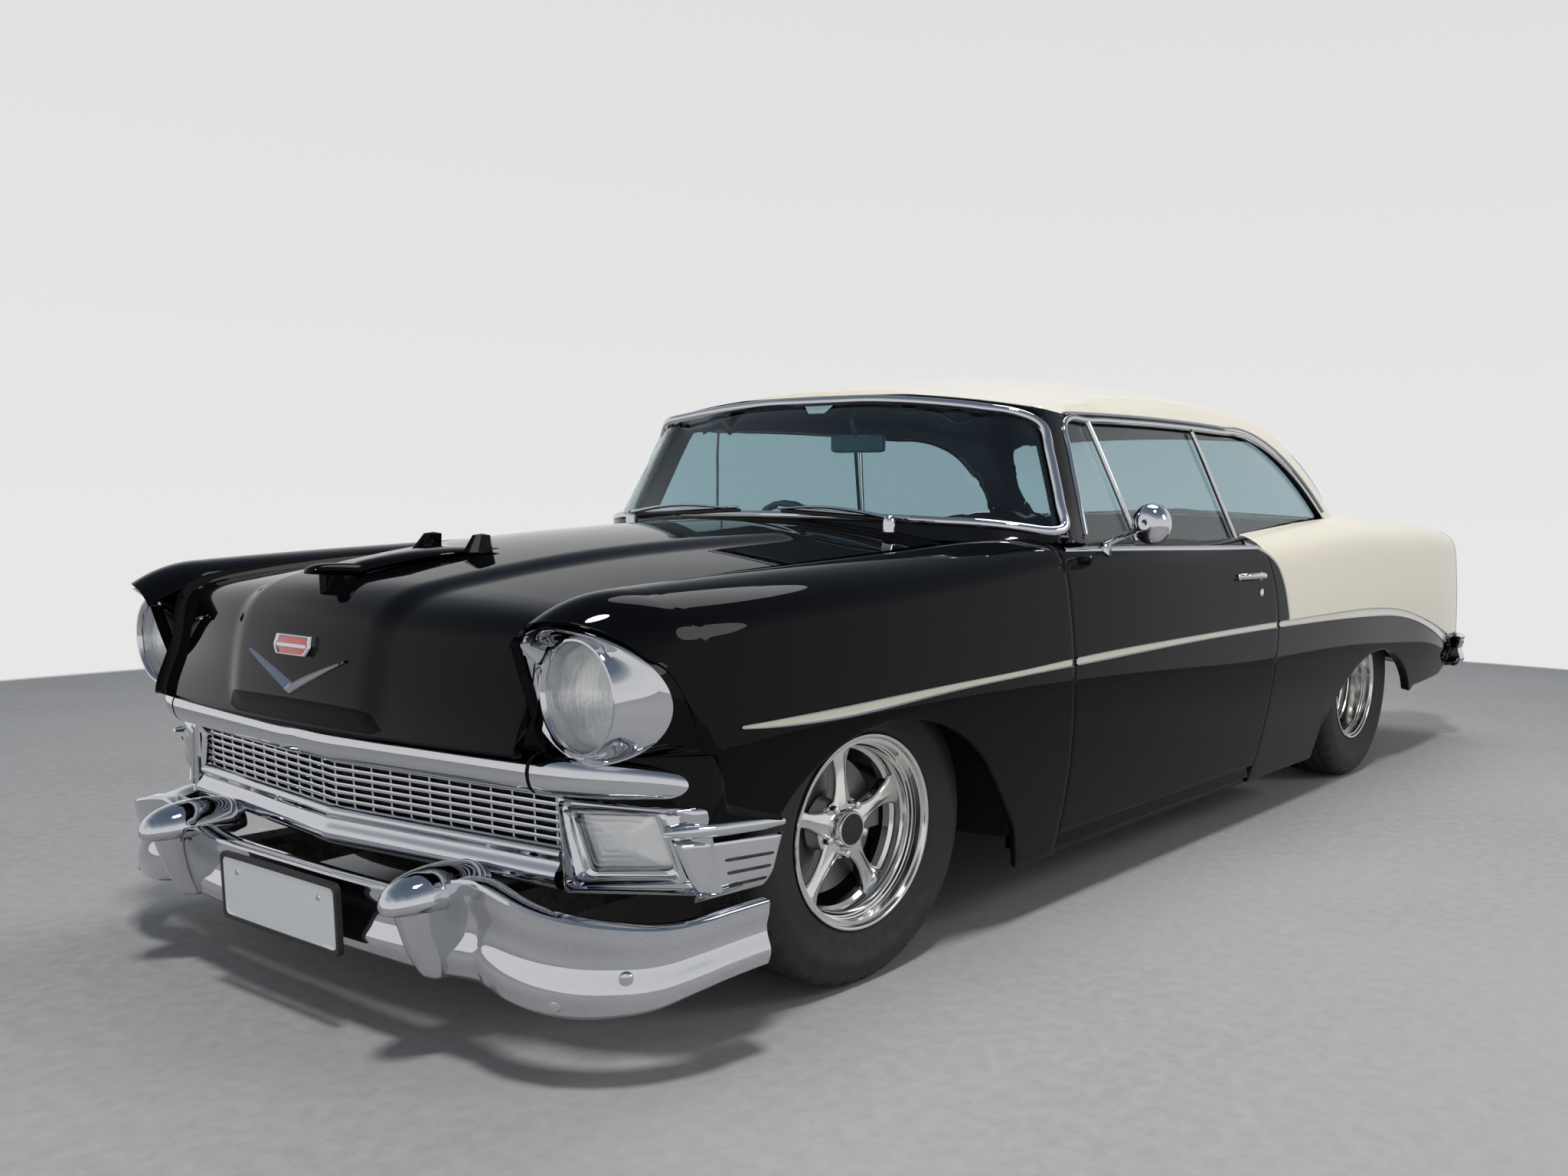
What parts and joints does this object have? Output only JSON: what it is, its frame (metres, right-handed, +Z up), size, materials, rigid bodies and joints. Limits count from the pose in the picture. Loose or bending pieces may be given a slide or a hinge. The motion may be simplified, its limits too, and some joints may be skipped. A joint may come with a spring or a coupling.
{
  "type": "two-door hardtop car of the 1950s",
  "caption": "Lowered 1950s two-door hardtop car with turning wheels, steering, opening doors, hood and trunk lid.",
  "frame": {"origin": "on the ground under the middle of the car's outer box", "axes": "+Y rearward along the car, +X to the car's left side, +Z up"},
  "size_m": [2.032, 5.0408, 1.4582],
  "materials": {
    "body_black": "gloss",
    "body_cream": "gloss",
    "chrome_trim": "mirror",
    "window_glass": "clear",
    "lamp_glass": "clear",
    "tail_lamp_red": "gloss",
    "tyre_rubber": "satin",
    "wheel_alloy": "polished",
    "chassis_black": "satin",
    "running_gear": "matte",
    "engine_paint": "satin",
    "exhaust_steel": "satin",
    "seat_trim": "satin",
    "dash_paint": "satin",
    "steering_plastic": "gloss",
    "plate_white": "gloss",
    "ornament_black": "gloss"
  },
  "bodies": {
    "root": {"front_wing_left": "body_black", "front_wing_right": "body_black", "cowl": "body_black", "rocker_left": "body_black", "rocker_right": "body_black", "rear_quarter_left": "body_cream", "rear_quarter_right": "body_cream", "roof": "body_cream", "rear_deck": "body_cream", "tail_panel": "body_cream", "headlight_rings": "chrome_trim", "grille": "chrome_trim", "grille_surround": "chrome_trim", "front_bumper": "chrome_trim", "rear_bumper": "chrome_trim", "windscreen": "window_glass", "rear_window": "window_glass", "quarter_windows": "window_glass", "headlight_lenses": "lamp_glass", "parking_lamps": "lamp_glass", "tail_lamps": "tail_lamp_red", "frame": "chassis_black", "front_arms": "chassis_black", "fuel_tank": "chassis_black", "floor_pan": "chassis_black", "rear_axle": "running_gear", "driveline": "running_gear", "engine": "engine_paint", "exhaust": "exhaust_steel", "front_seat": "seat_trim", "rear_seat": "seat_trim", "dashboard": "dash_paint", "steering_wheel": "steering_plastic", "number_plate": "plate_white"},
    "hood": {"hood": "body_black", "hood_header": "chrome_trim", "hood_ornament": "ornament_black"},
    "trunk_lid": {"trunk_lid": "body_cream"},
    "door_left": {"door_left": "body_black", "door_window_left": "window_glass", "door_mirror_left": "chrome_trim"},
    "steer_left": {"knuckle_left": "running_gear"},
    "wheel_front_left": {"tyre_front_left": "tyre_rubber", "rim_front_left": "wheel_alloy"},
    "wheel_rear_left": {"tyre_rear_left": "tyre_rubber", "rim_rear_left": "wheel_alloy"},
    "door_right": {"door_right": "body_black", "door_window_right": "window_glass", "door_mirror_right": "chrome_trim"},
    "steer_right": {"knuckle_right": "running_gear"},
    "wheel_front_right": {"tyre_front_right": "tyre_rubber", "rim_front_right": "wheel_alloy"},
    "wheel_rear_right": {"tyre_rear_right": "tyre_rubber", "rim_rear_right": "wheel_alloy"}
  },
  "joints": [
    {"name": "hood_hinge", "type": "hinge", "parent": "root", "child": "hood", "pos_m": [0, -1.2605, 0.965], "axis": [-1, 0, 0], "range_deg": [0, 50]},
    {"name": "trunk_hinge", "type": "hinge", "parent": "root", "child": "trunk_lid", "pos_m": [0, 1.3455, 1.018], "axis": [1, 0, 0], "range_deg": [0, 60]},
    {"name": "door_hinge_left", "type": "hinge", "parent": "root", "child": "door_left", "pos_m": [0.897, -1.0395, 0.55], "axis": [0, 0, -1], "range_deg": [0, 65]},
    {"name": "steering_left", "type": "hinge", "parent": "root", "child": "steer_left", "pos_m": [0.636, -1.6955, 0.328], "axis": [0, 0, 1], "range_deg": [-28, 28]},
    {"name": "wheel_spin_front_left", "type": "hinge", "parent": "steer_left", "child": "wheel_front_left", "pos_m": [0.722, -1.6955, 0.328], "axis": [1, 0, 0], "continuous": true},
    {"name": "wheel_spin_rear_left", "type": "hinge", "parent": "root", "child": "wheel_rear_left", "pos_m": [0.703, 1.2255, 0.358], "axis": [1, 0, 0], "continuous": true},
    {"name": "door_hinge_right", "type": "hinge", "parent": "root", "child": "door_right", "pos_m": [-0.897, -1.0395, 0.55], "axis": [0, 0, 1], "range_deg": [0, 65]},
    {"name": "steering_right", "type": "hinge", "parent": "root", "child": "steer_right", "pos_m": [-0.636, -1.6955, 0.328], "axis": [0, 0, 1], "range_deg": [-28, 28]},
    {"name": "wheel_spin_front_right", "type": "hinge", "parent": "steer_right", "child": "wheel_front_right", "pos_m": [-0.722, -1.6955, 0.328], "axis": [1, 0, 0], "continuous": true},
    {"name": "wheel_spin_rear_right", "type": "hinge", "parent": "root", "child": "wheel_rear_right", "pos_m": [-0.703, 1.2255, 0.358], "axis": [1, 0, 0], "continuous": true}
  ],
  "couplings": [
    {"joint": "steering_right", "follows": "steering_left", "ratio": 1}
  ]
}
